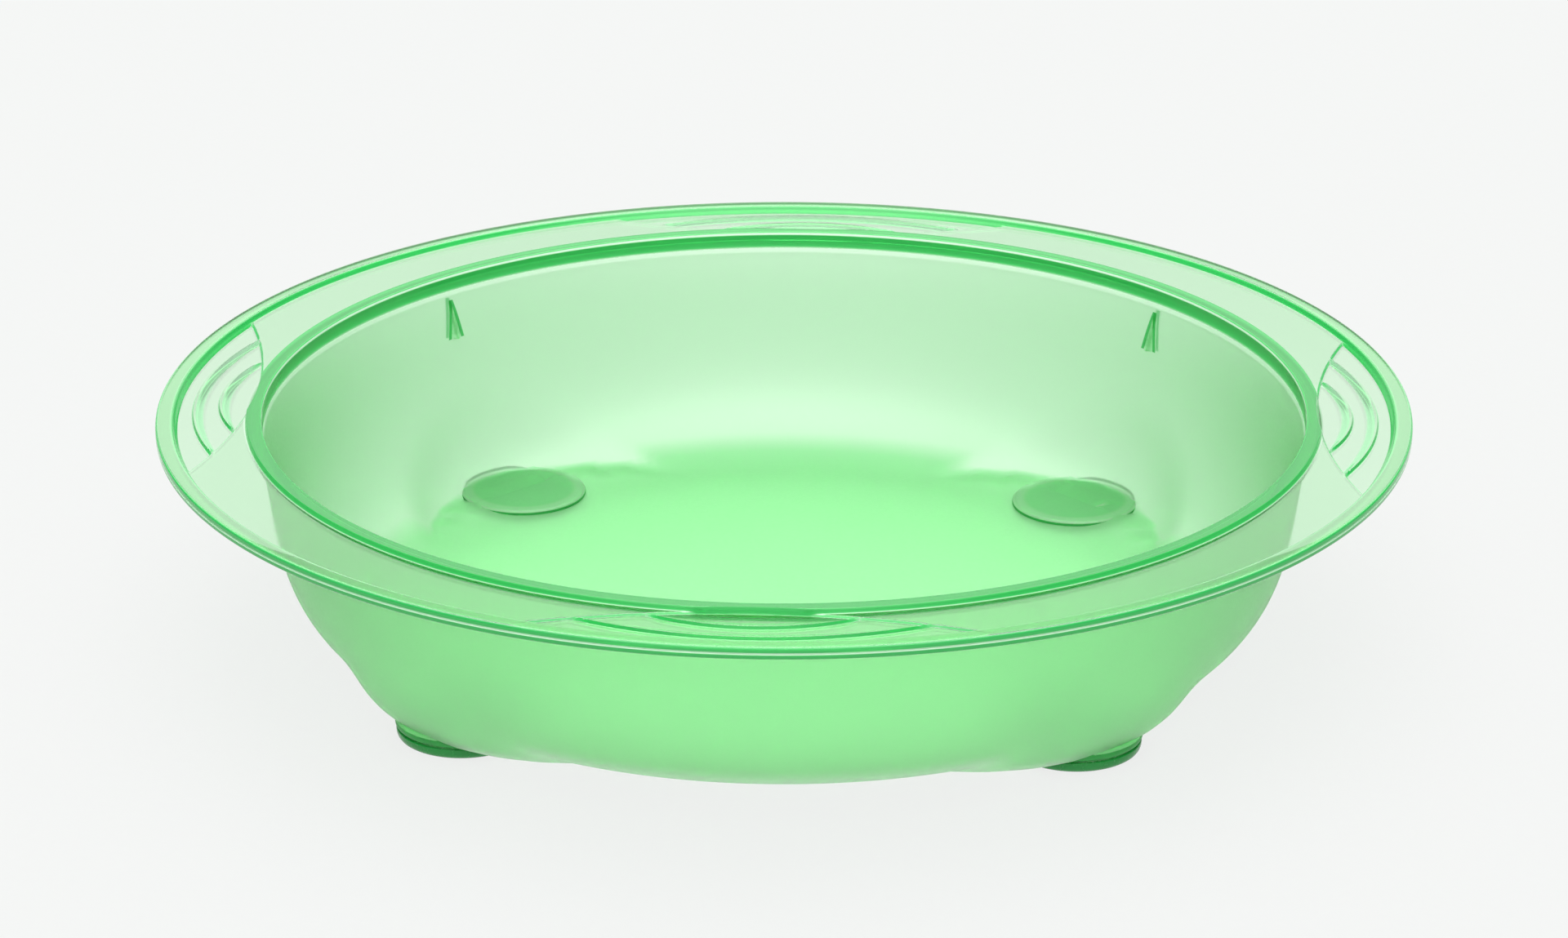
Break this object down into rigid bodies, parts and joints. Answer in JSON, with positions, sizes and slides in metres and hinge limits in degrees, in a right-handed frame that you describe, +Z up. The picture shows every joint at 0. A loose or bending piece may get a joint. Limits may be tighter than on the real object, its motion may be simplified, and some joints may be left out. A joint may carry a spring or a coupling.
{
  "type": "gold pan",
  "caption": "Round translucent plastic pan with a deep bowl, a wide flat rim with thumb grips, and corner lobes that stand on soft pads.",
  "frame": {"origin": "on the table under the centre of the pan, in the plane of the pads' undersides", "axes": "+Z up, along the pan's round axis; +X and +Y point to two of the thumb grips, and the feet are on the diagonals"},
  "size_m": [0.356, 0.356, 0.0681],
  "materials": {
    "green_plastic": "translucent, frosted bowl and clear rim",
    "pad_rubber": "dark translucent, semi-gloss"
  },
  "bodies": {
    "root": {"pan_shell": "green_plastic", "foot_pad_front_right": "pad_rubber", "foot_pad_back_right": "pad_rubber", "foot_pad_back_left": "pad_rubber", "foot_pad_front_left": "pad_rubber"}
  },
  "joints": []
}
